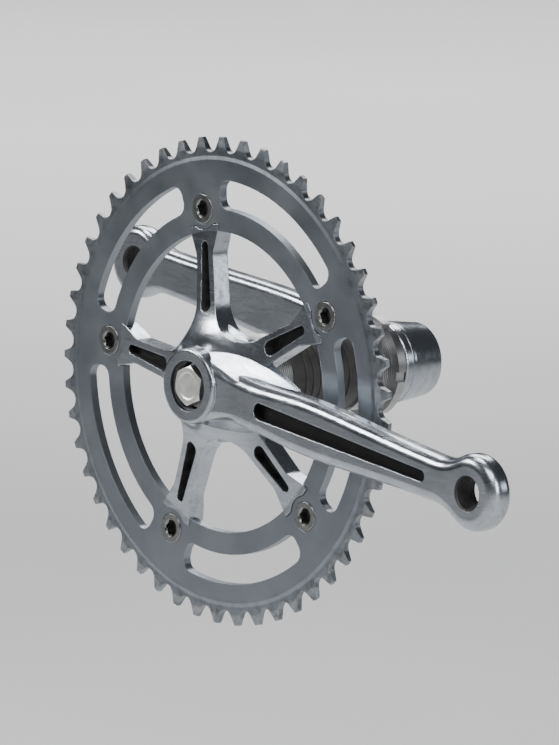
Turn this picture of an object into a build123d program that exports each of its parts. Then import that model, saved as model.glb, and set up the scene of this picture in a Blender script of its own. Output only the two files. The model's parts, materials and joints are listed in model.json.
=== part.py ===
from build123d import *

# Track-bicycle crankset: a five-arm right crank with its chainring, the left crank, the square-taper
# spindle that joins them, and the cup-and-ball bottom bracket that the spindle turns in.
#
# Frame: origin on the spindle's axis, in the bicycle's centre plane. +Y runs along the axis towards the
# left crank, +X is the bicycle's forward direction and +Z is up, so the chainring stands on the -Y side.
# "Outboard" is the distance from the centre plane, positive on both sides.
import os
from math import cos, radians, sin, tan

RIGHT, LEFT = -1, 1

# Driving dimensions, in mm and degrees
CRANK_ANGLE = -8.4
CRANK_LENGTH = 175.0
CHAIN_PITCH = 12.7
TEETH = 49
BOLT_CIRCLE_R = 72.0
SPIDER_ARMS = 5
CHAIN_LINE = 42.0
SHELL_FACE = 35.0
LEFT_SHIFT = 2.5  # how much further out than the right crank the left one stands

# Crank boss, and the square taper inside it
BOSS_BACK, BOSS_FACE = 41.0, 63.0
BOSS_BACK_R, BOSS_FACE_R = 17.4, 15.5
BOSS_RIM_ROUND = 1.3
RECESS_R = 10.55
RECESS_FLOOR = 54.6
SPINDLE_END = 53.0
TAPER_START = 37.0
TAPER_ANGLE = 2.0
TAPER_TIP_SQUARE = 12.6
TAPER_TIP_BEVEL = 1.0
TAPER_GAP = 0.03

# Crank arm: plan half widths along it, and the outboard places of its front and back faces
ARM_START, ARM_START_HALF_WIDTH = 8.0, 13.5
WAIST_AT, WAIST_HALF_WIDTH = 29.0, 10.4
SWELL_AT, SWELL_HALF_WIDTH = 62.0, 11.7
MIDDLE_AT, MIDDLE_HALF_WIDTH = 105.0, 11.0
NECK_AT, NECK_HALF_WIDTH = 150.0, 9.6
EYE_R = 15.7
EYE_BLEND_R = 24.0
EYE_STARTS = 162.0
ROOT_FRONT, ROOT_BACK = 61.6, 50.2
EYE_FRONT, EYE_BACK = 66.0, 55.0
EYE_BACK_STARTS = 158.0
ARM_FRONT_ROUND = 4.8
ARM_BACK_ROUND = 3.6
FLUTE_START, FLUTE_END = 40.0, 149.0
FLUTE_START_R, FLUTE_END_R = 3.5, 2.4
FLUTE_DEPTH, FLUTE_END_DEPTH = 3.6, 4.0
DISH_AT, DISH_END = 25.0, 38.0
DISH_START_DEPTH = 0.4
DISH_DEPTH = 1.3

# Shoulders that carry the crank's load into the spider, and the smaller ones on the left crank
SHOULDER_LOW, SHOULDER_HIGH = 45.0, 60.0
SHOULDER_LOW_R, SHOULDER_HIGH_R = 25.0, 14.4
SHOULDER_TOE_LOW_AT, SHOULDER_TOE_LOW_R = 46.0, 9.5
SHOULDER_TOE_HIGH_AT, SHOULDER_TOE_HIGH_R = 34.0, 6.6
LEFT_SHOULDER_LOW_R = 17.6
LEFT_SHOULDER_TOE_LOW_AT = 19.0
BOSS_WALL_START = 47.0

# Pedal thread, 9/16 in by 20 threads per inch, and the crank puller's thread, 22 mm by 1 mm
PEDAL_HOLE_R = 6.53
PEDAL_THREAD_PITCH = 1.27
PULLER_THREAD_PITCH = 1.0
THREAD_GROOVE_WIDTH = 0.45
THREAD_GROOVE_DEPTH = 0.5
THREAD_SKIN = 0.05  # how far each groove's cutter stands out of the wall that it cuts
PEDAL_MOUTH = 0.7

# Chainring
RING_THICKNESS = 3.8
TOOTH_THICKNESS = 3.0
TOOTH_TIP_THICKNESS = 1.5
RING_INNER_R = 62.5
SLOT_INNER_R, SLOT_OUTER_R = 71.8, 84.0
SLOT_SPAN = 54.5
SLOT_CORNER_R = 4.8
ROLLER_SEAT_R = 4.0
TOOTH_TIP_R = 101.4
TOOTH_TIP_HALF_WIDTH = 1.3
TOOTH_SEAT_HALF_ANGLE = 62.0
BEVEL_INNER_R, BEVEL_OUTER_R = 92.0, 93.6
TOOTH_TAPER_START = 2.0  # how far inside the pitch circle the teeth begin to thin

# Spider arms and the tabs that the chainring is bolted to
TAB_THICKNESS = 3.4
TAB_END_R, TAB_ROOT_R = 7.6, 4.1
ARM_ROOT_HALF_WIDTH = 7.0
ARM_CORNER_R = 6.0
SPIDER_WAIST_AT, SPIDER_WAIST_HALF_WIDTH = 53.0, 5.1
FISHTAIL_AT, FISHTAIL_HALF_WIDTH = 64.0, 9.0
FISHTAIL_END_R = 65.4
FISHTAIL_ARC_R = 8.7
FISHTAIL_GAP = 0.25
SPIDER_FRONT_HUB, SPIDER_FRONT_END = 47.6, 44.3
SPIDER_SWEEP_R = 36.0
SPIDER_SWEEP_TOP = 58.5
SPIDER_SWEEP_SLOPE = (0.7, -1.0)
SPIDER_HUB_R = 22.0
WINDOW_CORNER_R = 19.0
GROOVE_START, GROOVE_START_BY_CRANK, GROOVE_END = 32.5, 38.0, 56.5
GROOVE_START_R, GROOVE_END_R = 3.1, 2.0
GROOVE_FLOOR_HUB, GROOVE_FLOOR_END = 43.6, 40.9

# Chainring bolts and sleeve nuts
SLEEVE_R = 4.95
SLEEVE_HOLE_R = 5.05
FLANGE_R = 6.2
FLANGE_SEAT_R = 6.35
FLANGE_SEAT_DEPTH = 0.8
FLANGE_THICKNESS = 1.2
BOLT_CORE_R = 3.9
NUT_CORE_R = 4.0
SOCKET_FLATS = 6.0
SOCKET_DEPTH = 4.0
NUT_SLOT_WIDTH = 2.0
NUT_SLOT_DEPTH = 0.6
SOCKET_MOUTH_R, SOCKET_MOUTH_DEPTH = 3.8, 1.0
FASTENER_CHAMFER = 0.35
BOLT_TO_NUT_FLOOR = 0.6  # clearance beyond each fastener's end
NUT_TO_BOLT_FLANGE = 0.2

# Crank bolts and washers
WASHER_R, WASHER_HOLE_R = 9.8, 4.15
WASHER_BEVEL = 0.3
WASHER_THICKNESS = 1.4
BOLT_HEAD_FLATS = 15.0
BOLT_HEAD_HEIGHT = 6.8
HEAD_RIM_DROP, HEAD_FACE_DROP = 0.9, 0.4
HEAD_RIM_INSET, HEAD_FACE_INSET = 1.6, 2.4
BOLT_FLANGE_R = 9.2
BOLT_FLANGE_THICKNESS = 1.4
BOLT_SHANK_R = 4.0
BOLT_SHANK_LENGTH = 22.0
SPINDLE_HOLE_R = 4.05
SPINDLE_HOLE_DEPTH = 24.0

# Bottom bracket: 36 mm by 24 threads per inch cups, nine quarter-inch balls a side
CUP_THREAD_R = 18.0
CUP_THREAD_PITCH = 25.4 / 24
CUP_NOSE_START, CUP_THREAD_START = 17.5, 20.5
CUP_NOSE_R = 16.4
CUP_HOLE_R = 9.1
CUP_DISH_R = 14.0
CUP_DISH_DEPTH = 2.2
CUP_DISH_SLOPE = 0.6
RUN_OUT_WIDTH, RUN_OUT_R = 0.6, 17.5
FIXED_CUP_FLANGE_R = 20.8
FIXED_CUP_END = 38.0
FIXED_CUP_FLATS = 36.6
ADJUSTABLE_CUP_END = 41.2
PIN_HOLES = 6
PIN_HOLE_R = 1.4
PIN_HOLE_CIRCLE_R = 15.8
PIN_HOLE_DEPTH = 3.0
LOCKRING_R = 21.8
LOCKRING_END = 39.4
LOCKRING_NOTCHES = 6
NOTCH_SIZE = (3.2, 4.2)
LOCKRING_GAP = 0.03
BALL_R = 6.35 / 2
BALLS = 9
BALL_CIRCLE_R = 11.6
BALL_PLANE = 28.5
RACE_R = 3.235
CONE_ARC = 55.0
CONE_R = 10.3
CONE_LENGTH = 4.0
SPINDLE_WAIST_R = 7.6
RETAINER_INNER_R, RETAINER_OUTER_R = 12.4, 14.4
RETAINER_START, RETAINER_END = 24.4, 29.6
SLEEVE_WALL = 0.6
SLEEVE_RIBS, SLEEVE_RIB_STEP = 7, 4.0
SLEEVE_GAP = 0.02
EDGE_BEVEL = 0.4
OVERRUN = 5.0  # how far cutting and blanking shapes stand past what they cut
SKIM = 1.0  # the same where there is less room

RING_FRONT = CHAIN_LINE + RING_THICKNESS / 2
RING_BACK = CHAIN_LINE - RING_THICKNESS / 2
TAB_BACK = RING_BACK - TAB_THICKNESS
HEAD_SEAT = RECESS_FLOOR + WASHER_THICKNESS
PITCH_R = CHAIN_PITCH / 2 / sin(radians(180 / TEETH))
CUP_FLOOR = BALL_PLANE + RACE_R
CUP_CAVITY_R = BALL_CIRCLE_R + RACE_R
JOURNAL_R = BALL_CIRCLE_R - RACE_R
ARM_STEP = 360 / SPIDER_ARMS
BOLT_ANGLES = [ARM_STEP * (k + 0.5) for k in range(SPIDER_ARMS)]
BOLT_SEAT = RING_FRONT - FLANGE_SEAT_DEPTH
NUT_SEAT = TAB_BACK + FLANGE_SEAT_DEPTH
HEAD_TOP = HEAD_SEAT + BOLT_HEAD_HEIGHT


def side_plane(side, outboard=0.0):
    """The plane square to the axis at this distance, facing outboard, with x along that side's crank."""
    along = (-side * cos(radians(CRANK_ANGLE)), 0, -side * sin(radians(CRANK_ANGLE)))
    return Plane(origin=(0, side * outboard, 0), x_dir=along, z_dir=(0, side, 0))


def section_plane(side):
    """The plane through the axis and that side's crank: x runs out along the crank, y runs outboard."""
    out = side_plane(side)
    return Plane(origin=(0, 0, 0), x_dir=out.x_dir, z_dir=-out.y_dir)


def side_shift(side):
    """How far a crank and what holds it stand outside the symmetrical place."""
    return Location((0, LEFT_SHIFT if side == LEFT else 0, 0))


def polar(radius, angle):
    """A point of a sketch at this radius and this angle in degrees."""
    return (radius * cos(radians(angle)), radius * sin(radians(angle)))


def taper_square(outboard):
    """Across the flats of the spindle's square at this distance from the centre plane."""
    return TAPER_TIP_SQUARE + 2 * (SPINDLE_END - outboard) * tan(radians(TAPER_ANGLE))


def solid_of_revolution(side, points):
    """A ring or disc round the axis, from (radius, outboard) points."""
    with BuildPart() as turned:
        with BuildSketch(section_plane(side)):
            with BuildLine():
                Polyline(*points, close=True)
            make_face()
        revolve(axis=Axis.Y)
    return turned.part


def thread_grooves(side, radius, start, end, pitch, depth, centre=0.0):
    """V-shaped rings that stand for a thread's grooves round the line at this distance along the crank.

    A positive depth cuts outwards from a hole's wall, a negative one cuts into a shaft."""
    skin = -THREAD_SKIN if depth > 0 else THREAD_SKIN
    half = THREAD_GROOVE_WIDTH / 2
    axle = side_plane(side)
    foot = axle.from_local_coords((centre, 0, 0))
    with BuildPart() as grooves:
        with BuildSketch(section_plane(side)):
            for k in range(int((end - start) / pitch)):
                middle = start + pitch * (k + 0.5)
                with BuildLine():
                    Polyline(
                        (centre + radius + skin, middle - half),
                        (centre + radius, middle - half),
                        (centre + radius + depth, middle),
                        (centre + radius, middle + half),
                        (centre + radius + skin, middle + half),
                        close=True,
                    )
                make_face()
        revolve(axis=Axis(foot, axle.z_dir))
    return grooves.part


def arm_blank(side):
    """The forged arm with its pedal eye, cut to its front and back faces, with rounded edges."""
    with BuildPart() as arm:
        with BuildSketch(side_plane(side, BOSS_BACK)) as plan:
            with Locations((CRANK_LENGTH, 0)):
                Circle(EYE_R)
            with BuildLine():
                flank = Spline(
                    (ARM_START, ARM_START_HALF_WIDTH),
                    (WAIST_AT, WAIST_HALF_WIDTH),
                    (SWELL_AT, SWELL_HALF_WIDTH),
                    (MIDDLE_AT, MIDDLE_HALF_WIDTH),
                    (NECK_AT, NECK_HALF_WIDTH),
                    (CRANK_LENGTH - EYE_R / 2, NECK_HALF_WIDTH),
                )
                other_flank = mirror(flank, about=Plane.XZ)
                Line(flank @ 0, other_flank @ 0)
                Line(flank @ 1, other_flank @ 1)
            make_face()
            joins = plan.vertices().filter_by(lambda v: NECK_AT < v.X < CRANK_LENGTH - EYE_R / 2)
            fillet(joins, radius=EYE_BLEND_R)
        extrude(amount=EYE_FRONT - BOSS_BACK + OVERRUN)
        with BuildSketch(section_plane(side)):
            with BuildLine():
                dish = Spline(
                    (0, BOSS_FACE - DISH_START_DEPTH),
                    (DISH_AT, ROOT_FRONT - DISH_DEPTH),
                    (DISH_END, ROOT_FRONT),
                    tangents=[(1, 0), (EYE_STARTS - DISH_END, EYE_FRONT - ROOT_FRONT)],
                )
                Polyline(
                    dish @ 1,
                    (EYE_STARTS, EYE_FRONT),
                    (CRANK_LENGTH + EYE_R + OVERRUN, EYE_FRONT),
                    (CRANK_LENGTH + EYE_R + OVERRUN, EYE_BACK),
                    (EYE_BACK_STARTS, EYE_BACK),
                    (WAIST_AT, ROOT_BACK),
                    (0, ROOT_BACK),
                    dish @ 0,
                )
            make_face()
        extrude(amount=EYE_R + OVERRUN, both=True, mode=Mode.INTERSECT)
        for facing, edge_round in ((side, ARM_FRONT_ROUND), (-side, ARM_BACK_ROUND)):
            broad = arm.faces().filter_by(lambda f: f.normal_at().Y * facing > 0.9)
            edges = ShapeList(edge for face in broad for edge in face.edges())
            here = side_plane(side)
            flanks = edges.filter_by(lambda e: abs(here.to_local_coords(e.center()).Y) > EYE_R / 4)
            fillet(flanks.filter_by(lambda e: e.center().X * -side > ARM_START), radius=edge_round)
    return arm.part


def boss_blank(side):
    """The round boss over the spindle's end, with a rounded rim on its outer face."""
    with BuildPart() as boss:
        with BuildSketch(section_plane(side)) as profile:
            with BuildLine():
                Polyline(
                    (0, BOSS_BACK),
                    (BOSS_BACK_R, BOSS_BACK),
                    (BOSS_BACK_R, BOSS_WALL_START),
                    (BOSS_FACE_R, BOSS_FACE),
                    (0, BOSS_FACE),
                    close=True,
                )
            make_face()
            fillet(profile.vertices().filter_by(lambda v: v.X > BOSS_FACE_R / 2), radius=BOSS_RIM_ROUND)
        revolve(axis=Axis.Y)
    return boss.part


def shoulder_blank(side, low_r, toe_low_at):
    """The sloping shoulders that join the boss to the arm's root and to what stands behind it."""
    with BuildPart() as shoulder:
        with BuildSketch(side_plane(side, SHOULDER_LOW)):
            Circle(low_r)
            with Locations((toe_low_at, 0)):
                Circle(SHOULDER_TOE_LOW_R)
            make_hull()
        with BuildSketch(side_plane(side, SHOULDER_HIGH)):
            Circle(SHOULDER_HIGH_R)
            with Locations((SHOULDER_TOE_HIGH_AT, 0)):
                Circle(SHOULDER_TOE_HIGH_R)
            make_hull()
        loft()
    return shoulder.part


def spindle_bore(side):
    """What is taken out of a crank's boss: the square taper, the bolt's recess and the puller's thread."""
    with BuildPart() as bore:
        for outboard in (BOSS_BACK - SKIM, RECESS_FLOOR + SKIM):
            with BuildSketch(side_plane(side, outboard)):
                flats = taper_square(outboard) + 2 * TAPER_GAP
                Rectangle(flats, flats)
        loft()
        with BuildSketch(side_plane(side, RECESS_FLOOR)):
            Circle(RECESS_R)
        extrude(amount=BOSS_FACE - RECESS_FLOOR + SKIM)
        thread_start = HEAD_SEAT + BOLT_FLANGE_THICKNESS
        thread_end = BOSS_FACE - BOSS_RIM_ROUND
        grooves = thread_grooves(
            side, RECESS_R, thread_start, thread_end, PULLER_THREAD_PITCH, THREAD_GROOVE_DEPTH
        )
        add(grooves)
    return bore.part


def flute(side):
    """What is taken out of the arm's face: the long tapered flute."""
    with BuildPart() as cut:
        with BuildSketch(side_plane(side, ROOT_BACK)):
            with Locations((FLUTE_START + FLUTE_START_R, 0)):
                Circle(FLUTE_START_R)
            with Locations((FLUTE_END - FLUTE_END_R, 0)):
                Circle(FLUTE_END_R)
            make_hull()
        extrude(amount=EYE_FRONT - ROOT_BACK + SKIM)
        with BuildSketch(section_plane(side)):
            with BuildLine():
                Polyline(
                    (FLUTE_START - SKIM, ROOT_FRONT - FLUTE_DEPTH),
                    (FLUTE_END + SKIM, EYE_FRONT - FLUTE_END_DEPTH),
                    (FLUTE_END + SKIM, EYE_FRONT + SKIM),
                    (FLUTE_START - SKIM, EYE_FRONT + SKIM),
                    close=True,
                )
            make_face()
        extrude(amount=FLUTE_START_R + SKIM, both=True, mode=Mode.INTERSECT)
    return cut.part


def pedal_bore(side):
    """What is taken out of the pedal eye: the threaded hole and its countersunk mouths."""
    with BuildPart() as bore:
        with BuildSketch(side_plane(side, EYE_BACK - SKIM)):
            with Locations((CRANK_LENGTH, 0)):
                Circle(PEDAL_HOLE_R)
        extrude(amount=EYE_FRONT - EYE_BACK + 2 * SKIM)
        thread_start = EYE_BACK + PEDAL_MOUTH
        thread_end = EYE_FRONT - PEDAL_MOUTH
        for face, thread_face in ((EYE_FRONT, thread_end), (EYE_BACK, thread_start)):
            for outboard, mouth_r in ((face, PEDAL_HOLE_R + PEDAL_MOUTH), (thread_face, PEDAL_HOLE_R)):
                with BuildSketch(side_plane(side, outboard)):
                    with Locations((CRANK_LENGTH, 0)):
                        Circle(mouth_r)
            loft()
        grooves = thread_grooves(
            side,
            PEDAL_HOLE_R,
            thread_start,
            thread_end,
            PEDAL_THREAD_PITCH,
            THREAD_GROOVE_DEPTH,
            centre=CRANK_LENGTH,
        )
        add(grooves)
    return bore.part


def arms_plan(gap=0.0):
    """The spider's five arms seen along the axis, each ending in a hollow round its bolt's boss."""
    with BuildSketch() as plan:
        with BuildSketch(mode=Mode.PRIVATE) as one_arm:
            with BuildLine():
                flank = FilletPolyline(
                    (0, ARM_ROOT_HALF_WIDTH + gap),
                    (SPIDER_WAIST_AT, SPIDER_WAIST_HALF_WIDTH + gap),
                    (FISHTAIL_AT, FISHTAIL_HALF_WIDTH + gap),
                    (FISHTAIL_AT + ARM_CORNER_R, FISHTAIL_HALF_WIDTH + gap),
                    radius=ARM_CORNER_R,
                )
                other_flank = mirror(flank, about=Plane.XZ)
                Line(flank @ 0, other_flank @ 0)
                Line(flank @ 1, other_flank @ 1)
            make_face()
        with Locations(*[Location((0, 0, 0), (0, 0, angle)) for angle in BOLT_ANGLES]):
            add(one_arm.sketch)
        Circle(FISHTAIL_END_R + gap, mode=Mode.INTERSECT)
        with Locations(*[polar(BOLT_CIRCLE_R, angle) for angle in BOLT_ANGLES]):
            Circle(FISHTAIL_ARC_R - gap, mode=Mode.SUBTRACT)
        hub_corners = plan.vertices().filter_by(lambda v: v.X**2 + v.Y**2 < SPIDER_HUB_R**2)
        fillet(hub_corners, radius=WINDOW_CORNER_R)
    return plan.sketch


def bolt_plane(angle, outboard):
    """The plane square to the axis at a chainring bolt's centre, facing outboard."""
    flat = side_plane(RIGHT, outboard)
    centre = flat.from_local_coords((*polar(BOLT_CIRCLE_R, angle), 0))
    return Plane(origin=centre, x_dir=flat.x_dir, z_dir=flat.z_dir)


os.makedirs("parts", exist_ok=True)


def write(piece, name):
    """Label a finished piece and write it to its own file."""
    piece.label = name
    export_step(piece, f"parts/{name}.step")


# Spider: the five arms and their tabs
with BuildPart() as spider_grooves:
    with BuildSketch(side_plane(RIGHT, TAB_BACK)):
        for angle in BOLT_ANGLES:
            beside_crank = angle in (BOLT_ANGLES[0], BOLT_ANGLES[-1])
            groove_start = GROOVE_START_BY_CRANK if beside_crank else GROOVE_START
            with BuildSketch(mode=Mode.PRIVATE) as one_groove:
                with Locations(polar(groove_start, angle)):
                    Circle(GROOVE_START_R)
                with Locations(polar(GROOVE_END, angle)):
                    Circle(GROOVE_END_R)
                make_hull()
            add(one_groove.sketch)
    extrude(amount=SPIDER_SWEEP_TOP - TAB_BACK)
    above_floor = solid_of_revolution(
        RIGHT,
        [
            (GROOVE_START - OVERRUN, GROOVE_FLOOR_HUB),
            (GROOVE_END + OVERRUN, GROOVE_FLOOR_END),
            (GROOVE_END + OVERRUN, SPIDER_SWEEP_TOP),
            (GROOVE_START - OVERRUN, SPIDER_SWEEP_TOP),
        ],
    )
    add(above_floor, mode=Mode.INTERSECT)

with BuildPart() as spider_envelope:
    with BuildSketch(section_plane(RIGHT)):
        with BuildLine():
            sweep = Spline(
                (BOSS_FACE_R, SPIDER_SWEEP_TOP),
                (SPIDER_SWEEP_R, SPIDER_FRONT_HUB),
                tangents=[
                    SPIDER_SWEEP_SLOPE,
                    (FISHTAIL_AT - SPIDER_SWEEP_R, SPIDER_FRONT_END - SPIDER_FRONT_HUB),
                ],
            )
            Polyline(
                sweep @ 1,
                (RING_INNER_R, SPIDER_FRONT_END),
                (BOLT_CIRCLE_R, SPIDER_FRONT_END),
                (BOLT_CIRCLE_R, TAB_BACK),
                (FISHTAIL_AT - OVERRUN, TAB_BACK),
                (SPIDER_HUB_R, BOSS_BACK),
                (0, BOSS_BACK),
                (0, SPIDER_SWEEP_TOP),
                sweep @ 0,
            )
        make_face()
    revolve(axis=Axis.Y)

with BuildPart() as spider:
    with BuildSketch(side_plane(RIGHT, TAB_BACK)):
        add(arms_plan())
    extrude(amount=SPIDER_SWEEP_TOP - TAB_BACK)
    add(spider_envelope.part, mode=Mode.INTERSECT)
    add(spider_grooves.part, mode=Mode.SUBTRACT)
    with BuildSketch(side_plane(RIGHT, TAB_BACK)):
        for angle in BOLT_ANGLES:
            with BuildSketch(mode=Mode.PRIVATE) as one_tab:
                with Locations(polar(BOLT_CIRCLE_R, angle)):
                    Circle(TAB_END_R)
                with Locations(polar(SPIDER_WAIST_AT, angle)):
                    Circle(TAB_ROOT_R)
                make_hull()
            add(one_tab.sketch)
    extrude(amount=TAB_THICKNESS)

# Right crank: arm, boss and spider are one forging
with BuildPart() as right_crank:
    add(spider.part)
    add(shoulder_blank(RIGHT, SHOULDER_LOW_R, SHOULDER_TOE_LOW_AT))
    add(boss_blank(RIGHT))
    add(arm_blank(RIGHT))
    add(spindle_bore(RIGHT), mode=Mode.SUBTRACT)
    add(flute(RIGHT), mode=Mode.SUBTRACT)
    add(pedal_bore(RIGHT), mode=Mode.SUBTRACT)
    with Locations(*[bolt_plane(angle, RING_BACK).location for angle in BOLT_ANGLES]):
        Hole(SLEEVE_HOLE_R)
    with Locations(*[bolt_plane(angle, TAB_BACK).location for angle in BOLT_ANGLES]):
        Cylinder(FLANGE_SEAT_R, 2 * FLANGE_SEAT_DEPTH, mode=Mode.SUBTRACT)
write(right_crank.part, "right_crank")

with BuildPart() as left_crank:
    add(shoulder_blank(LEFT, LEFT_SHOULDER_LOW_R, LEFT_SHOULDER_TOE_LOW_AT))
    add(boss_blank(LEFT))
    add(arm_blank(LEFT))
    add(spindle_bore(LEFT), mode=Mode.SUBTRACT)
    add(flute(LEFT), mode=Mode.SUBTRACT)
    add(pedal_bore(LEFT), mode=Mode.SUBTRACT)
write(left_crank.part.moved(side_shift(LEFT)), "left_crank")

# Chainring: a turned plate, then the toothed outline, the slots and the hollow that the spider fills
with BuildPart() as chainring:
    with BuildSketch(side_plane(RIGHT, RING_BACK)) as outline:
        with BuildLine():
            for tooth in range(TEETH):
                seat_angle = tooth * 360 / TEETH
                tip_angle = seat_angle + 180 / TEETH
                centre = Vector(*polar(PITCH_R, seat_angle))
                seat_start = centre - Vector(*polar(ROLLER_SEAT_R, seat_angle + TOOTH_SEAT_HALF_ANGLE))
                seat_floor = centre - Vector(*polar(ROLLER_SEAT_R, seat_angle))
                seat_end = centre - Vector(*polar(ROLLER_SEAT_R, seat_angle - TOOTH_SEAT_HALF_ANGLE))
                along_tip = Vector(*polar(TOOTH_TIP_HALF_WIDTH, tip_angle + 90))
                tip = Vector(*polar(TOOTH_TIP_R, tip_angle))
                next_angle = seat_angle + 360 / TEETH
                next_centre = Vector(*polar(PITCH_R, next_angle))
                next_start = next_centre - Vector(*polar(ROLLER_SEAT_R, next_angle + TOOTH_SEAT_HALF_ANGLE))
                ThreePointArc(seat_start, seat_floor, seat_end)
                Polyline(seat_end, tip - along_tip, tip + along_tip, next_start)
        make_face()
        Circle(RING_INNER_R, mode=Mode.SUBTRACT)
        add(arms_plan(FISHTAIL_GAP), mode=Mode.SUBTRACT)
        for angle in BOLT_ANGLES:
            first = angle + (ARM_STEP - SLOT_SPAN) / 2
            with BuildSketch(mode=Mode.PRIVATE) as slot:
                with BuildLine():
                    inner = CenterArc((0, 0), SLOT_INNER_R, first, SLOT_SPAN)
                    outer = CenterArc((0, 0), SLOT_OUTER_R, first, SLOT_SPAN)
                    Line(inner @ 0, outer @ 0)
                    Line(inner @ 1, outer @ 1)
                make_face()
                fillet(slot.vertices(), radius=SLOT_CORNER_R)
            add(slot.sketch, mode=Mode.SUBTRACT)
    extrude(amount=RING_THICKNESS)
    half, tooth_half, tip_half = RING_THICKNESS / 2, TOOTH_THICKNESS / 2, TOOTH_TIP_THICKNESS / 2
    disc = solid_of_revolution(
        RIGHT,
        [
            (RING_INNER_R - SKIM, CHAIN_LINE - half),
            (BEVEL_INNER_R, CHAIN_LINE - half),
            (BEVEL_OUTER_R, CHAIN_LINE - tooth_half),
            (PITCH_R - TOOTH_TAPER_START, CHAIN_LINE - tooth_half),
            (TOOTH_TIP_R + SKIM, CHAIN_LINE - tip_half),
            (TOOTH_TIP_R + SKIM, CHAIN_LINE + tip_half),
            (PITCH_R - TOOTH_TAPER_START, CHAIN_LINE + tooth_half),
            (BEVEL_OUTER_R, CHAIN_LINE + tooth_half),
            (BEVEL_INNER_R, CHAIN_LINE + half),
            (RING_INNER_R - SKIM, CHAIN_LINE + half),
        ],
    )
    add(disc, mode=Mode.INTERSECT)
    with Locations(*[bolt_plane(angle, RING_BACK).location for angle in BOLT_ANGLES]):
        Hole(SLEEVE_HOLE_R)
    with Locations(*[bolt_plane(angle, RING_FRONT).location for angle in BOLT_ANGLES]):
        Cylinder(FLANGE_SEAT_R, 2 * FLANGE_SEAT_DEPTH, mode=Mode.SUBTRACT)
write(chainring.part, "chainring")

# Chainring bolts from the front, sleeve nuts from behind
for number, angle in enumerate(BOLT_ANGLES, start=1):
    with BuildPart() as chainring_bolt:
        with BuildSketch(bolt_plane(angle, BOLT_SEAT)):
            Circle(FLANGE_R)
        extrude(amount=FLANGE_THICKNESS)
        chamfer(chainring_bolt.edges().sort_by(Axis.Y)[0], length=FASTENER_CHAMFER)
        with BuildSketch(bolt_plane(angle, BOLT_SEAT)):
            Circle(BOLT_CORE_R)
        extrude(amount=NUT_SEAT - BOLT_TO_NUT_FLOOR - BOLT_SEAT)
        with BuildSketch(bolt_plane(angle, BOLT_SEAT + FLANGE_THICKNESS)):
            RegularPolygon(SOCKET_FLATS / 2, 6, major_radius=False)
        extrude(amount=-SOCKET_DEPTH, mode=Mode.SUBTRACT)
        with Locations(bolt_plane(angle, BOLT_SEAT + FLANGE_THICKNESS).location):
            Cone(
                SOCKET_MOUTH_R - SOCKET_MOUTH_DEPTH,
                SOCKET_MOUTH_R,
                SOCKET_MOUTH_DEPTH,
                align=(Align.CENTER, Align.CENTER, Align.MAX),
                mode=Mode.SUBTRACT,
            )
    write(chainring_bolt.part, f"chainring_bolt_{number}")

    with BuildPart() as chainring_nut:
        with BuildSketch(bolt_plane(angle, NUT_SEAT)):
            Circle(FLANGE_R)
        extrude(amount=-FLANGE_THICKNESS)
        chamfer(chainring_nut.edges().sort_by(Axis.Y)[-1], length=FASTENER_CHAMFER)
        with BuildSketch(bolt_plane(angle, NUT_SEAT)):
            Circle(SLEEVE_R)
        extrude(amount=BOLT_SEAT - NUT_TO_BOLT_FLANGE - NUT_SEAT)
        with Locations(bolt_plane(angle, NUT_SEAT).location):
            Hole(NUT_CORE_R)
        with BuildSketch(bolt_plane(angle, NUT_SEAT - FLANGE_THICKNESS)):
            Rectangle(3 * FLANGE_R, NUT_SLOT_WIDTH)
        extrude(amount=NUT_SLOT_DEPTH, mode=Mode.SUBTRACT)
    write(chainring_nut.part, f"chainring_nut_{number}")


def spindle_taper(side):
    """The square taper at one end of the spindle, with its corners left round."""
    with BuildPart() as taper:
        for outboard in (TAPER_START, SPINDLE_END):
            with BuildSketch(side_plane(side, outboard)):
                Rectangle(taper_square(outboard), taper_square(outboard))
        loft()
        rounded_end = solid_of_revolution(
            side,
            [
                (0, TAPER_START),
                (JOURNAL_R, TAPER_START),
                (JOURNAL_R, SPINDLE_END - TAPER_TIP_BEVEL),
                (JOURNAL_R - TAPER_TIP_BEVEL, SPINDLE_END),
                (0, SPINDLE_END),
            ],
        )
        add(rounded_end, mode=Mode.INTERSECT)
        with BuildSketch(side_plane(side, SPINDLE_END)):
            Circle(SPINDLE_HOLE_R)
        extrude(amount=TAPER_START - SPINDLE_END, mode=Mode.SUBTRACT)
    return taper.part.moved(side_shift(side))


# Spindle: a waist between two ball races, journals, and a square taper on each end
with BuildPart() as spindle:
    for side in (RIGHT, LEFT):
        journal_end = TAPER_START + side_shift(side).position.Y
        cone_edge = Vector(BALL_CIRCLE_R, BALL_PLANE) - Vector(*polar(RACE_R, CONE_ARC))
        cone_middle = Vector(BALL_CIRCLE_R, BALL_PLANE) - Vector(*polar(RACE_R, CONE_ARC / 2))
        hole_end = journal_end + SPINDLE_END - TAPER_START - SPINDLE_HOLE_DEPTH
        with BuildSketch(section_plane(side)):
            with BuildLine():
                Polyline(
                    (JOURNAL_R, BALL_PLANE),
                    (JOURNAL_R, journal_end),
                    (SPINDLE_HOLE_R, journal_end),
                    (SPINDLE_HOLE_R, hole_end),
                    (0, hole_end - SPINDLE_HOLE_R / 2),
                    (0, 0),
                    (SPINDLE_WAIST_R, 0),
                    (SPINDLE_WAIST_R, CUP_NOSE_START),
                    (CONE_R, CUP_NOSE_START + CONE_LENGTH),
                    (CONE_R, cone_edge.Y - EDGE_BEVEL),
                    cone_edge,
                )
                ThreePointArc(cone_edge, cone_middle, (JOURNAL_R, BALL_PLANE))
            make_face()
        revolve(axis=Axis.Y)
        add(spindle_taper(side))
write(spindle.part, "spindle")

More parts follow.
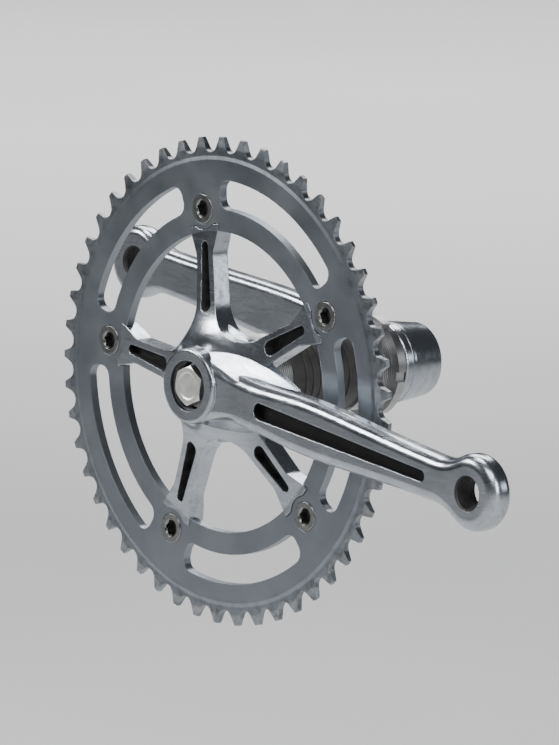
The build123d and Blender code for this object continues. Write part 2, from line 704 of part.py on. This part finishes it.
# Crank bolts, each on a washer at the foot of its boss's recess
for side, side_name in ((RIGHT, "right"), (LEFT, "left")):
    washer = solid_of_revolution(
        side,
        [
            (WASHER_HOLE_R, RECESS_FLOOR),
            (WASHER_R, RECESS_FLOOR),
            (WASHER_R, HEAD_SEAT - WASHER_BEVEL),
            (WASHER_R - WASHER_BEVEL, HEAD_SEAT),
            (WASHER_HOLE_R, HEAD_SEAT),
        ],
    )
    write(washer.moved(side_shift(side)), f"{side_name}_crank_washer")

    with BuildPart() as crank_bolt:
        with BuildSketch(side_plane(side, HEAD_SEAT)):
            RegularPolygon(BOLT_HEAD_FLATS / 2, 6, major_radius=False, rotation=30)
        extrude(amount=BOLT_HEAD_HEIGHT)
        head_envelope = solid_of_revolution(
            side,
            [
                (0, HEAD_SEAT),
                (BOLT_FLANGE_R, HEAD_SEAT),
                (BOLT_FLANGE_R, HEAD_TOP - HEAD_RIM_DROP),
                (BOLT_HEAD_FLATS / 2, HEAD_TOP),
                (BOLT_HEAD_FLATS / 2 - HEAD_RIM_INSET, HEAD_TOP),
                (BOLT_HEAD_FLATS / 2 - HEAD_FACE_INSET, HEAD_TOP - HEAD_FACE_DROP),
                (0, HEAD_TOP - HEAD_FACE_DROP),
            ],
        )
        add(head_envelope, mode=Mode.INTERSECT)
        with BuildSketch(side_plane(side, HEAD_SEAT)):
            Circle(BOLT_FLANGE_R)
        extrude(amount=BOLT_FLANGE_THICKNESS)
        with BuildSketch(side_plane(side, HEAD_SEAT)):
            Circle(BOLT_SHANK_R)
        extrude(amount=-BOLT_SHANK_LENGTH)
    write(crank_bolt.part.moved(side_shift(side)), f"{side_name}_crank_bolt")


def cup_turning(side, rim_points):
    """A bottom-bracket cup: rim_points run from its dished outer face to the start of its thread."""
    with BuildPart() as cup:
        with BuildSketch(section_plane(side)):
            with BuildLine():
                Polyline(
                    (BALL_CIRCLE_R, CUP_FLOOR),
                    (CUP_HOLE_R, CUP_FLOOR),
                    *rim_points,
                    (CUP_THREAD_R, CUP_THREAD_START),
                    (CUP_NOSE_R, CUP_THREAD_START),
                    (CUP_NOSE_R, CUP_NOSE_START),
                    (CUP_CAVITY_R, CUP_NOSE_START),
                    (CUP_CAVITY_R, BALL_PLANE),
                )
                race_middle = Vector(BALL_CIRCLE_R, BALL_PLANE) + Vector(*polar(RACE_R, 45))
                ThreePointArc((CUP_CAVITY_R, BALL_PLANE), race_middle, (BALL_CIRCLE_R, CUP_FLOOR))
            make_face()
        revolve(axis=Axis.Y)
    return cup.part


with BuildPart() as fixed_cup:
    rim = [
        (CUP_HOLE_R, FIXED_CUP_END - CUP_DISH_DEPTH),
        (CUP_DISH_R, FIXED_CUP_END - CUP_DISH_DEPTH),
        (CUP_DISH_R + CUP_DISH_SLOPE, FIXED_CUP_END),
        (FIXED_CUP_FLANGE_R - EDGE_BEVEL, FIXED_CUP_END),
        (FIXED_CUP_FLANGE_R, FIXED_CUP_END - EDGE_BEVEL),
        (FIXED_CUP_FLANGE_R, SHELL_FACE),
        (CUP_THREAD_R, SHELL_FACE),
    ]
    add(cup_turning(RIGHT, rim))
    with BuildSketch(side_plane(RIGHT)):
        Rectangle(3 * FIXED_CUP_FLANGE_R, FIXED_CUP_FLATS)
    extrude(amount=FIXED_CUP_END, mode=Mode.INTERSECT)
    grooves = thread_grooves(
        RIGHT, CUP_THREAD_R, CUP_THREAD_START, SHELL_FACE, CUP_THREAD_PITCH, -THREAD_GROOVE_DEPTH
    )
    add(grooves, mode=Mode.SUBTRACT)
write(fixed_cup.part, "fixed_cup")

with BuildPart() as adjustable_cup:
    rim = [
        (CUP_HOLE_R, ADJUSTABLE_CUP_END - CUP_DISH_DEPTH),
        (CUP_DISH_R - CUP_DISH_SLOPE, ADJUSTABLE_CUP_END - CUP_DISH_DEPTH),
        (CUP_DISH_R, ADJUSTABLE_CUP_END),
        (CUP_THREAD_R - EDGE_BEVEL, ADJUSTABLE_CUP_END),
        (CUP_THREAD_R, ADJUSTABLE_CUP_END - EDGE_BEVEL),
        (CUP_THREAD_R, SHELL_FACE + RUN_OUT_WIDTH),
        (RUN_OUT_R, SHELL_FACE + RUN_OUT_WIDTH),
        (RUN_OUT_R, SHELL_FACE),
        (CUP_THREAD_R, SHELL_FACE),
    ]
    add(cup_turning(LEFT, rim))
    for start, end in (
        (CUP_THREAD_START, SHELL_FACE),
        (SHELL_FACE + RUN_OUT_WIDTH, ADJUSTABLE_CUP_END - EDGE_BEVEL),
    ):
        grooves = thread_grooves(LEFT, CUP_THREAD_R, start, end, CUP_THREAD_PITCH, -THREAD_GROOVE_DEPTH)
        add(grooves, mode=Mode.SUBTRACT)
    with BuildSketch(side_plane(LEFT, ADJUSTABLE_CUP_END)):
        with PolarLocations(PIN_HOLE_CIRCLE_R, PIN_HOLES):
            Circle(PIN_HOLE_R)
    extrude(amount=-PIN_HOLE_DEPTH, mode=Mode.SUBTRACT)
write(adjustable_cup.part, "adjustable_cup")

with BuildPart() as lockring:
    blank = solid_of_revolution(
        LEFT,
        [
            (CUP_THREAD_R + LOCKRING_GAP, SHELL_FACE),
            (LOCKRING_R, SHELL_FACE),
            (LOCKRING_R, LOCKRING_END - EDGE_BEVEL),
            (LOCKRING_R - EDGE_BEVEL, LOCKRING_END),
            (CUP_THREAD_R + LOCKRING_GAP, LOCKRING_END),
        ],
    )
    add(blank)
    with BuildSketch(side_plane(LEFT, SHELL_FACE)):
        with PolarLocations(LOCKRING_R, LOCKRING_NOTCHES):
            Rectangle(*NOTCH_SIZE)
    extrude(amount=LOCKRING_END - SHELL_FACE, mode=Mode.SUBTRACT)
write(lockring.part, "lockring")

# Dust sleeve over the noses of the two cups, with a few rounded ribs
with BuildPart() as dust_sleeve:
    with BuildSketch(section_plane(LEFT)):
        with Locations((CUP_NOSE_R + SLEEVE_GAP + SLEEVE_WALL / 2, 0)):
            Rectangle(SLEEVE_WALL, 2 * CUP_THREAD_START)
        for rib in range(SLEEVE_RIBS):
            with Locations((CUP_NOSE_R + SLEEVE_WALL, SLEEVE_RIB_STEP * (rib - SLEEVE_RIBS // 2))):
                Circle(SLEEVE_WALL)
        with Locations((CUP_NOSE_R / 2, 0)):
            Rectangle(CUP_NOSE_R + 2 * SLEEVE_GAP, 2 * CUP_THREAD_START, mode=Mode.SUBTRACT)
    revolve(axis=Axis.Y)
write(dust_sleeve.part, "dust_sleeve")

# Ball sets: nine balls a side, and the retainer that spaces them
for side, side_name in ((RIGHT, "right"), (LEFT, "left")):
    places = [
        side_plane(side, BALL_PLANE).from_local_coords((*polar(BALL_CIRCLE_R, ball * 360 / BALLS), 0))
        for ball in range(BALLS)
    ]
    with BuildPart() as balls:
        with Locations(*places):
            Sphere(BALL_R)
    write(balls.part, f"{side_name}_balls")

    with BuildPart() as retainer:
        ring = solid_of_revolution(
            side,
            [
                (RETAINER_INNER_R, RETAINER_START),
                (RETAINER_OUTER_R, RETAINER_START),
                (RETAINER_OUTER_R, RETAINER_END),
                (RETAINER_INNER_R, RETAINER_END),
            ],
        )
        add(ring)
        with Locations(*places):
            Sphere(RACE_R, mode=Mode.SUBTRACT)
    write(retainer.part, f"{side_name}_ball_retainer")
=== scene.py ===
"""Looks for the track-bicycle crankset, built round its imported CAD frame.

Lengths are in metres, or in millimetres times MM."""
import json
import math

import bmesh
import bpy
from mathutils import Matrix, Vector


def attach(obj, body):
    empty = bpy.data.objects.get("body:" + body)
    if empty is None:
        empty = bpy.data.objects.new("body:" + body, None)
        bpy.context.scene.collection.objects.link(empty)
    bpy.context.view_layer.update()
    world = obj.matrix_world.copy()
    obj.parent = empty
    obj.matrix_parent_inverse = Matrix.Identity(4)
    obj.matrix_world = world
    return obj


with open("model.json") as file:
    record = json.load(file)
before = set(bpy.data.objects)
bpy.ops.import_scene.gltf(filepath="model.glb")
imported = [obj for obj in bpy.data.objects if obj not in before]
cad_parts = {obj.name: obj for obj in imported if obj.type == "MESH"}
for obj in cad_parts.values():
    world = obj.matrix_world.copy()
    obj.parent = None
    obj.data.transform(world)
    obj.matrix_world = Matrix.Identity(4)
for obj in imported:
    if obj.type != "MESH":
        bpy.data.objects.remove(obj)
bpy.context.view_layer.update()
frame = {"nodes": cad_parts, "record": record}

MM = 0.001

# ---------------------------------------------------------------- places worked out from the frame
mounts = {mount["name"]: mount for mount in frame["record"]["mounts"]}
right_eye = Vector(mounts["right_pedal"]["pos_m"])
left_eye = Vector(mounts["left_pedal"]["pos_m"])
CRANK_LENGTH = math.hypot(right_eye.x, right_eye.z)
CRANK_ANGLE = math.atan2(right_eye.z, right_eye.x)
LEFT_SHIFT = left_eye.y + right_eye.y  # how much further out the left crank stands


def side_frame(side):
    """The matrix of one crank's own axes: x out along the crank, z outboard, origin on the spindle's axis.

    side is -1 on the right, where the chainring is, and 1 on the left."""
    out = Vector((0, side, 0))
    along = Vector((-side * math.cos(CRANK_ANGLE), 0, -side * math.sin(CRANK_ANGLE)))
    across = out.cross(along)
    return Matrix((along, across, out)).transposed().to_4x4()


# ---------------------------------------------------------------- materials
# Distances from a hole's or the spindle's own axis at which a finish changes; within the pedal thread and
# bolt recess radii the polished alloy gets painted shade
PEDAL_THREAD_R = 7.15 * MM
BOLT_RECESS_R = 10.4 * MM
CHAIN_SEAT_FROM, CHAIN_SEAT_TO = 90 * MM, 96 * MM
WORN_TEETH_FROM, WORN_TEETH_TO = 94.5 * MM, 98.5 * MM
POLISH_SLANT = math.radians(35)  # the hand-polishing strokes' slant to the crank


class Graph:
    """A short way to write a material's nodes."""

    def __init__(self, name):
        self.material = bpy.data.materials.new(name)
        self.material.use_nodes = True
        self.nodes = self.material.node_tree.nodes
        self.links = self.material.node_tree.links
        self.shader = self.nodes["Principled BSDF"]
        self.place = self.nodes.new("ShaderNodeTexCoord").outputs["Object"]

    def put(self, socket, value):
        """Set an input to a constant, or link it to another node's output."""
        if isinstance(value, bpy.types.NodeSocket):
            self.links.new(value, socket)
        elif isinstance(value, tuple) and len(value) == 3 and socket.type == "RGBA":
            socket.default_value = (*value, 1)
        else:
            socket.default_value = value

    def math(self, operation, *values, clamp=False):
        """Arithmetic on values or other nodes' outputs."""
        node = self.nodes.new("ShaderNodeMath")
        node.operation = operation
        node.use_clamp = clamp
        for socket, value in zip(node.inputs, values):
            self.put(socket, value)
        return node.outputs[0]

    def mapped(self, scale, rotation=(0, 0, 0)):
        """The place on the piece, turned and then scaled, for a pattern that is finer one way."""
        node = self.nodes.new("ShaderNodeMapping")
        self.put(node.inputs["Vector"], self.place)
        node.inputs["Rotation"].default_value = rotation
        node.inputs["Scale"].default_value = scale
        return node.outputs[0]

    def noise(self, scale, detail, roughness, source=None, distortion=0.0):
        """A random pattern from 0 to 1, over the piece or over another vector."""
        node = self.nodes.new("ShaderNodeTexNoise")
        self.put(node.inputs["Vector"], source or self.place)
        node.inputs["Scale"].default_value = scale
        node.inputs["Detail"].default_value = detail
        node.inputs["Roughness"].default_value = roughness
        node.inputs["Distortion"].default_value = distortion
        return node.outputs["Fac"]

    def remap(self, value, low, high, to_low=0.0, to_high=1.0):
        """The value's stretch from low to high, spread over to_low to to_high and held there beyond."""
        node = self.nodes.new("ShaderNodeMapRange")
        for socket, number in zip(node.inputs, (value, low, high, to_low, to_high)):
            self.put(socket, number)
        return node.outputs[0]

    def mix(self, factor, first, second):
        """The first colour at factor 0, the second at 1."""
        node = self.nodes.new("ShaderNodeMix")
        node.data_type = "RGBA"
        self.put(node.inputs["Factor"], factor)
        first_colour, second_colour = (socket for socket in node.inputs if socket.type == "RGBA")
        self.put(first_colour, first)
        self.put(second_colour, second)
        return next(socket for socket in node.outputs if socket.type == "RGBA")

    def bump(self, height, strength, distance, below=None):
        """A normal that follows height, laid over the normal below it."""
        node = self.nodes.new("ShaderNodeBump")
        node.inputs["Strength"].default_value = strength
        node.inputs["Distance"].default_value = distance
        self.put(node.inputs["Height"], height)
        if below is not None:
            self.put(node.inputs["Normal"], below)
        return node.outputs[0]

    def radius(self, centre=(0, 0, 0)):
        """The distance from a line parallel to the spindle."""
        shift = self.nodes.new("ShaderNodeVectorMath")
        shift.operation = "SUBTRACT"
        self.put(shift.inputs[0], self.place)
        shift.inputs[1].default_value = centre
        flat = self.nodes.new("ShaderNodeVectorMath")
        flat.operation = "MULTIPLY"
        self.put(flat.inputs[0], shift.outputs[0])
        flat.inputs[1].default_value = (1, 0, 1)
        length = self.nodes.new("ShaderNodeVectorMath")
        length.operation = "LENGTH"
        self.put(length.inputs[0], flat.outputs[0])
        return length.outputs["Value"]

    def near(self, centre, edge):
        """1 within edge of a line parallel to the spindle, falling to 0 over the next half millimetre."""
        return self.remap(self.radius(centre), edge, edge + 0.5 * MM, 1.0, 0.0)

    def hollow(self, distance):
        """0 on open surfaces, rising towards 1 in corners and holes."""
        node = self.nodes.new("ShaderNodeAmbientOcclusion")
        node.samples = 6
        node.inputs["Distance"].default_value = distance
        return self.math("SUBTRACT", 1.0, node.outputs["AO"], clamp=True)

    def soft_edges(self, radius):
        """A normal that rounds sharp edges over, as handling and polishing do."""
        node = self.nodes.new("ShaderNodeBevel")
        node.samples = 4
        node.inputs["Radius"].default_value = radius
        return node.outputs[0]

    def finish(self, colour, roughness, metallic=1.0, normal=None, **others):
        """Set the shader's inputs, the others by name with _ for a space, and return the material."""
        self.put(self.shader.inputs["Base Color"], colour)
        self.put(self.shader.inputs["Roughness"], roughness)
        self.put(self.shader.inputs["Metallic"], metallic)
        if normal is not None:
            self.put(self.shader.inputs["Normal"], normal)
        for name, value in others.items():
            self.put(self.shader.inputs[name.replace("_", " ")], value)
        return self.material


def polished_alloy():
    """Forged aluminium polished by hand: lines along it, haze, nicks, grime, and painted shade that darkens
    its corners and its pedal and bolt holes.
    """
    g = Graph("polished_alloy")
    along_crank = g.mapped((60, 2600, 2600), (0, -CRANK_ANGLE, 0))
    along_strokes = g.mapped((75, 300, 300), (0, POLISH_SLANT - CRANK_ANGLE, 0))
    lines = g.noise(1.0, 2, 0.5, along_crank)
    streaks = g.noise(1.0, 4, 0.6, along_strokes, distortion=0.5)
    haze = g.noise(38, 4, 0.6)
    nicks = g.remap(g.noise(420, 5, 0.7, distortion=1.5), 0.68, 0.80)
    # Painted shade: the colour falls to near black in corners found by ambient occlusion and inside the
    # pedal threads and the bolt recess; the same mask stands for grime and roughens the surface.
    corners = g.remap(g.hollow(2.6 * MM), 0.40, 0.92)
    threads = g.math("MAXIMUM", g.near(right_eye, PEDAL_THREAD_R), g.near(left_eye, PEDAL_THREAD_R))
    bores = g.math("MAXIMUM", threads, g.near((0, 0, 0), BOLT_RECESS_R))
    dirt_and_shade = g.math("MAXIMUM", g.math("MULTIPLY", corners, 0.8), g.math("MULTIPLY", bores, 0.9))
    clean = g.mix(g.remap(haze, 0.35, 0.7), (0.46, 0.49, 0.53), (0.56, 0.59, 0.63))
    streaked = g.mix(g.math("MULTIPLY", g.remap(streaks, 0.42, 0.66), 0.55), clean, (0.33, 0.36, 0.40))
    nicked = g.mix(g.math("MULTIPLY", nicks, 0.35), streaked, (0.30, 0.31, 0.33))
    colour = g.mix(dirt_and_shade, nicked, (0.030, 0.024, 0.019))
    smooth = g.math("ADD", g.remap(haze, 0.3, 0.75, 0.12, 0.22), g.remap(streaks, 0.35, 0.75, 0.0, 0.10))
    polished = g.math("ADD", smooth, g.math("MULTIPLY", lines, 0.07))
    roughness = g.math("ADD", polished, g.math("MULTIPLY", dirt_and_shade, 0.35))
    waves = g.bump(g.noise(95, 1, 0.4), 0.12, 0.25 * MM, g.soft_edges(0.6 * MM))
    wiped = g.bump(streaks, 0.22, 0.30 * MM, waves)
    scratched = g.bump(lines, 0.12, 0.02 * MM, wiped)
    normal = g.bump(nicks, 0.35, -0.05 * MM, scratched)
    return g.finish(colour, roughness, normal=normal)


def anodised_alloy():
    """Grey anodised plate, turned on a lathe: fine rings, worn brighter on the teeth, oily in the seats."""
    g = Graph("anodised_alloy")
    radius = g.radius()
    line_place = g.nodes.new("ShaderNodeCombineXYZ")
    g.put(line_place.inputs[0], radius)
    rings = g.noise(2600, 2, 0.6, line_place.outputs[0])
    broad = g.noise(55, 4, 0.6)
    speckle = g.noise(1500, 2, 0.5)
    base = g.mix(g.remap(broad, 0.3, 0.75), (0.235, 0.260, 0.290), (0.295, 0.320, 0.350))
    lined = g.mix(g.math("MULTIPLY", g.remap(rings, 0.4, 0.75), 0.35), base, (0.38, 0.40, 0.43))
    on_teeth = g.remap(radius, WORN_TEETH_FROM, WORN_TEETH_TO)
    wear = g.math("MULTIPLY", on_teeth, g.remap(g.noise(160, 4, 0.7), 0.42, 0.62))
    worn = g.mix(g.math("MULTIPLY", wear, 0.7), lined, (0.46, 0.47, 0.48))
    at_seat = g.remap(radius, CHAIN_SEAT_FROM, CHAIN_SEAT_TO)
    seat = g.math("MULTIPLY", at_seat, g.remap(g.noise(210, 5, 0.7), 0.48, 0.64))
    oily = g.mix(g.math("MULTIPLY", seat, 0.55), worn, (0.060, 0.052, 0.040))
    # Painted shade: the colour darkens toward near black in corners found by ambient occlusion, counted
    # together with grime.
    dirt_and_shade = g.remap(g.hollow(1.8 * MM), 0.5, 0.95)
    colour = g.mix(g.math("MULTIPLY", dirt_and_shade, 0.6), oily, (0.026, 0.023, 0.020))
    roughness = g.math("ADD", g.remap(broad, 0.3, 0.7, 0.28, 0.38), g.math("MULTIPLY", rings, 0.10))
    grain = g.bump(speckle, 0.10, 0.03 * MM, g.soft_edges(0.45 * MM))
    normal = g.bump(rings, 0.16, 0.02 * MM, grain)
    return g.finish(colour, roughness, normal=normal)


def plated_steel(name, dark, light, gloss, dirt_and_shade_reach):
    """Plating that has dulled and spotted a little, with grime and painted shade darkening the sockets and
    corners.
    """
    g = Graph(name)
    broad = g.noise(260, 4, 0.6)
    spots = g.remap(g.noise(900, 3, 0.6), 0.62, 0.74)
    # Painted shade: the colour darkens in sockets and corners found by ambient occlusion, together with
    # grime that also roughens it.
    dirt_and_shade = g.remap(g.hollow(dirt_and_shade_reach), 0.30, 0.80)
    base = g.mix(g.remap(broad, 0.3, 0.75), dark, light)
    spotted = g.mix(g.math("MULTIPLY", spots, 0.5), base, (0.26, 0.21, 0.15))
    colour = g.mix(g.math("MULTIPLY", dirt_and_shade, 0.9), spotted, (0.022, 0.016, 0.012))
    roughness = g.math("ADD", g.remap(broad, 0.3, 0.75, gloss, gloss + 0.14), g.math("MULTIPLY", dirt_and_shade, 0.3))
    normal = g.bump(g.noise(700, 3, 0.6), 0.20, 0.04 * MM, g.soft_edges(0.25 * MM))
    return g.finish(colour, roughness, normal=normal)


def turned_steel(name, dark, light, low_roughness, high_roughness):
    """Steel turned round the spindle's axis: rings along Y and faint colour variation."""
    g = Graph(name)
    along = g.noise(1.0, 2, 0.6, g.mapped((40, 5200, 40)))
    broad = g.noise(120, 4, 0.6)
    # Painted shade: the colour darkens toward near black in corners found by ambient occlusion, counted
    # together with grime.
    dirt_and_shade = g.remap(g.hollow(1.5 * MM), 0.4, 0.95)
    base = g.mix(g.remap(broad, 0.3, 0.75), dark, light)
    colour = g.mix(g.math("MULTIPLY", dirt_and_shade, 0.7), base, (0.035, 0.030, 0.024))
    smooth = g.remap(broad, 0.3, 0.7, low_roughness, high_roughness)
    roughness = g.math("ADD", smooth, g.math("MULTIPLY", along, 0.08))
    normal = g.bump(along, 0.20, 0.03 * MM)
    return g.finish(colour, roughness, normal=normal)


def sleeve_plastic():
    """Black moulded plastic with a fine grain and a film of dust."""
    g = Graph("sleeve_plastic")
    dust = g.remap(g.noise(70, 5, 0.65), 0.42, 0.75)
    colour = g.mix(g.math("MULTIPLY", dust, 0.35), (0.018, 0.018, 0.020), (0.13, 0.12, 0.105))
    roughness = g.remap(dust, 0, 1, 0.42, 0.62)
    normal = g.bump(g.noise(1800, 2, 0.5), 0.25, 0.05 * MM)
    return g.finish(colour, roughness, metallic=0.0, normal=normal)


def groove_dark_reflection(name, black, dusty, dust_share):
    """A near-black film laid in a groove as painted dark reflection, with dust and polish residue and a few
    chips down to the alloy.
    """
    g = Graph(name)
    chips = g.remap(g.noise(330, 5, 0.7, distortion=0.8), 0.72, 0.75)
    dust = g.math("MULTIPLY", g.remap(g.noise(140, 5, 0.65), 0.38, 0.68), dust_share)
    colour = g.mix(chips, g.mix(dust, black, dusty), (0.36, 0.37, 0.38))
    roughness = g.remap(dust, 0, 1, 0.48, 0.80)
    normal = g.bump(g.noise(380, 3, 0.6), 0.25, 0.08 * MM)
    return g.finish(colour, roughness, metallic=chips, normal=normal, Specular_IOR_Level=0.25)


FINISHES = {
    "polished_alloy": polished_alloy(),
    "anodised_alloy": anodised_alloy(),
    "plated_steel": plated_steel("plated_steel", (0.80, 0.80, 0.77), (0.90, 0.90, 0.87), 0.38, 1.2 * MM),
    "dulled_steel": plated_steel("dulled_steel", (0.24, 0.245, 0.245), (0.35, 0.35, 0.34), 0.22, 4.5 * MM),
    "cup_steel": turned_steel("cup_steel", (0.34, 0.34, 0.345), (0.50, 0.50, 0.50), 0.24, 0.38),
    "bearing_steel": turned_steel("bearing_steel", (0.42, 0.42, 0.43), (0.58, 0.58, 0.59), 0.16, 0.30),
    "ball_steel": turned_steel("ball_steel", (0.72, 0.73, 0.75), (0.82, 0.83, 0.85), 0.05, 0.10),
    "retainer_steel": turned_steel("retainer_steel", (0.40, 0.37, 0.31), (0.55, 0.52, 0.46), 0.28, 0.42),
    "sleeve_plastic": sleeve_plastic(),
}
# The flutes' near-black film is painted reflection: it stands for the dark reflection in the flutes. The
# spider grooves' dark grey film is painted reflection and dirt together.
FLUTE_DARK_REFLECTION = groove_dark_reflection("flute_dark_reflection", (0.006, 0.006, 0.007), (0.035, 0.034, 0.032), 0.35)
SPIDER_GRIME_AND_DARK_REFLECTION = groove_dark_reflection("spider_grime_and_dark_reflection", (0.016, 0.016, 0.017), (0.085, 0.085, 0.083), 0.8)
slot_of = {part["node"]: part["material_slot"] for part in frame["record"]["subparts"]}
for node, piece in frame["nodes"].items():
    for material_slot in piece.material_slots:
        material_slot.material = FINISHES[slot_of[node]]

# ---------------------------------------------------------------- near-black films in the grooves, painted dark reflection
# In millimetres, as the forging's own grooves have them. Ends are a place along the crank or the spider
# arm and a radius there; floors and faces are two places along it with their heights outboard.
FLUTE_ENDS = ((43.5, 3.5), (146.6, 2.4))
FLUTE_FLOOR = ((39.0, 58.0), (150.0, 62.0))
CRANK_FACE = ((40.0, 61.6), (162.0, 66.0))
ARMS = 5
ARM_GROOVE_OUTER_END = (56.5, 2.0)
ARM_GROOVE_START, ARM_GROOVE_START_BY_CRANK, ARM_GROOVE_START_R = 32.5, 38.0, 3.1
ARM_GROOVE_FLOOR = ((27.5, 43.6), (61.5, 40.9))
ARM_FACE = ((36.0, 47.6), (62.5, 44.3))
FILM_GAP, FILM_THICKNESS, FILM_BELOW_FACE = 0.02, 0.16, 0.6
ARC_STEPS = 14


def on_line(ends, u):
    """The height at u on the straight line through two (u, height) points."""
    (u0, h0), (u1, h1) = ends
    return h0 + (h1 - h0) * (u - u0) / (u1 - u0)


def groove_outline(ends, inset):
    """The tapered slot round two circles, drawn in by inset, anticlockwise."""
    (u0, r0), (u1, r1) = ends
    lean = math.asin((r0 - r1) / (u1 - u0))
    points = []
    for centre, radius, middle, sweep in (
        (u1, r1 - inset, 0, math.pi - 2 * lean),
        (u0, r0 - inset, math.pi, math.pi + 2 * lean),
    ):
        for k in range(ARC_STEPS + 1):
            turn = middle - sweep / 2 + sweep * k / ARC_STEPS
            points.append((centre + radius * math.cos(turn), radius * math.sin(turn)))
    return points


def dark_reflection_film(name, material, place, ends, floor, face, shift=0.0):
    """A closed near-black film on a groove's floor and walls, a painted reflection, in the frame given by
    place.

    It is skinned from its underside, up the groove's wall, over its rim and down to its top side."""
    bm = bmesh.new()
    loops = []
    film_top = FILM_GAP + FILM_THICKNESS
    for inset, surface, lift in (
        (FILM_GAP, floor, FILM_GAP),
        (FILM_GAP, face, -FILM_BELOW_FACE),
        (film_top, face, -FILM_BELOW_FACE),
        (film_top, floor, film_top),
    ):
        loop = []
        for u, v in groove_outline(ends, inset):
            height = on_line(surface, u) + lift
            loop.append(bm.verts.new(place @ (Vector((u, v, height)) * MM)))
        loops.append(loop)
    for lower, upper in zip(loops, loops[1:]):
        for k in range(len(lower)):
            after = (k + 1) % len(lower)
            bm.faces.new((lower[k], lower[after], upper[after], upper[k]))
    bm.faces.new(loops[0])
    bm.faces.new(loops[-1])
    bmesh.ops.recalc_face_normals(bm, faces=bm.faces)
    bmesh.ops.translate(bm, verts=bm.verts, vec=(0, shift, 0))
    mesh = bpy.data.meshes.new(name)
    bm.to_mesh(mesh)
    bm.free()
    mesh.materials.append(material)
    piece = bpy.data.objects.new(name, mesh)
    bpy.context.collection.objects.link(piece)
    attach(piece, "crankset")


dark_reflection_film("right_flute_dark_reflection", FLUTE_DARK_REFLECTION, side_frame(-1), FLUTE_ENDS, FLUTE_FLOOR, CRANK_FACE)
dark_reflection_film("left_flute_dark_reflection", FLUTE_DARK_REFLECTION, side_frame(1), FLUTE_ENDS, FLUTE_FLOOR, CRANK_FACE, LEFT_SHIFT)
for arm in range(ARMS):
    start = ARM_GROOVE_START_BY_CRANK if arm in (0, ARMS - 1) else ARM_GROOVE_START
    place = side_frame(-1) @ Matrix.Rotation((arm + 0.5) * math.tau / ARMS, 4, "Z")
    ends = ((start, ARM_GROOVE_START_R), ARM_GROOVE_OUTER_END)
    dark_reflection_film(f"spider_groove_grime_and_reflection_{arm + 1}", SPIDER_GRIME_AND_DARK_REFLECTION, place, ends, ARM_GROOVE_FLOOR, ARM_FACE)

# ---------------------------------------------------------------- camera
CAMERA_PLACE = Vector((3.116, -2.779, 0.559))
AIM = Vector((-0.006, -0.0068, 0.0))
camera = bpy.data.objects.new("camera", bpy.data.cameras.new("camera"))
bpy.context.collection.objects.link(camera)
camera.location = CAMERA_PLACE
camera.rotation_euler = (AIM - CAMERA_PLACE).to_track_quat("-Z", "Y").to_euler()
camera.data.lens = 490
camera.data.clip_end = 40
bpy.context.scene.camera = camera

# ---------------------------------------------------------------- floor and lights
FLOOR_Z = -(CRANK_LENGTH + 30 * MM)  # clear of the pedal eyes when a crank points down
FLOOR_REACH = 14.0
DAYLIGHT = (0.93, 0.97, 1.0)


def pale_surface():
    """A matt pale grey, very slightly mottled."""
    g = Graph("pale_floor")
    mottle = g.noise(3.0, 3, 0.5)
    colour = g.mix(g.remap(mottle, 0.3, 0.7), (0.60, 0.60, 0.60), (0.63, 0.63, 0.625))
    return g.finish(colour, 0.6, metallic=0.0)


def pale_floor():
    """A flat pale floor that reaches past every camera round the crankset."""
    bm = bmesh.new()
    corners = ((-1, -1), (1, -1), (1, 1), (-1, 1))
    bm.faces.new([bm.verts.new((x * FLOOR_REACH, y * FLOOR_REACH, FLOOR_Z)) for x, y in corners])
    mesh = bpy.data.meshes.new("floor")
    bm.to_mesh(mesh)
    bm.free()
    mesh.materials.append(pale_surface())
    piece = bpy.data.objects.new("floor", mesh)
    bpy.context.collection.objects.link(piece)


pale_floor()


def softbox(name, place, size, power, spread, target=(0, 0, 0), colour=(1, 1, 1)):
    """An area light aimed at target, its beam spread degrees wide, so that it lights only its own part."""
    light = bpy.data.lights.new(name, "AREA")
    light.shape = "RECTANGLE"
    light.size, light.size_y = size
    light.energy = power
    light.color = colour
    light.spread = math.radians(spread)
    piece = bpy.data.objects.new(name, light)
    bpy.context.collection.objects.link(piece)
    piece.location = place
    piece.rotation_euler = (Vector(target) - Vector(place)).to_track_quat("-Z", "Y").to_euler()


# Two overhead strips make the shoulder's long highlight. The two large boxes light the floor behind the
# crankset and before it, which the polished faces mirror.
for strip, across in enumerate((-0.38, -0.02), start=1):
    softbox(f"key_{strip}", (-0.50, across, 1.95), (0.24, 0.9), power=0.85, spread=50)
softbox("sky", (-2.3, 2.05, 2.5), (2.4, 2.4), power=90, spread=110, target=(-2.0, 1.8, -0.2))
softbox("fill", (2.2, -2.0, 2.5), (2.4, 2.4), power=70, spread=110, target=(2.0, -1.8, -0.2))
softbox("side", (-1.25, -1.20, 0.98), (0.8, 0.45), power=2.6, spread=60)
softbox("rim", (1.50, 1.30, 0.42), (0.45, 0.5), power=0.2, spread=60, colour=DAYLIGHT)
softbox("front", (2.3, -0.3, 0.7), (0.25, 1.0), power=2.5, spread=60, colour=DAYLIGHT)

world = bpy.data.worlds.new("studio")
bpy.context.scene.world = world
world.use_nodes = True
background = world.node_tree.nodes["Background"]
background.inputs["Color"].default_value = (0.52, 0.55, 0.60, 1)
background.inputs["Strength"].default_value = 0.115
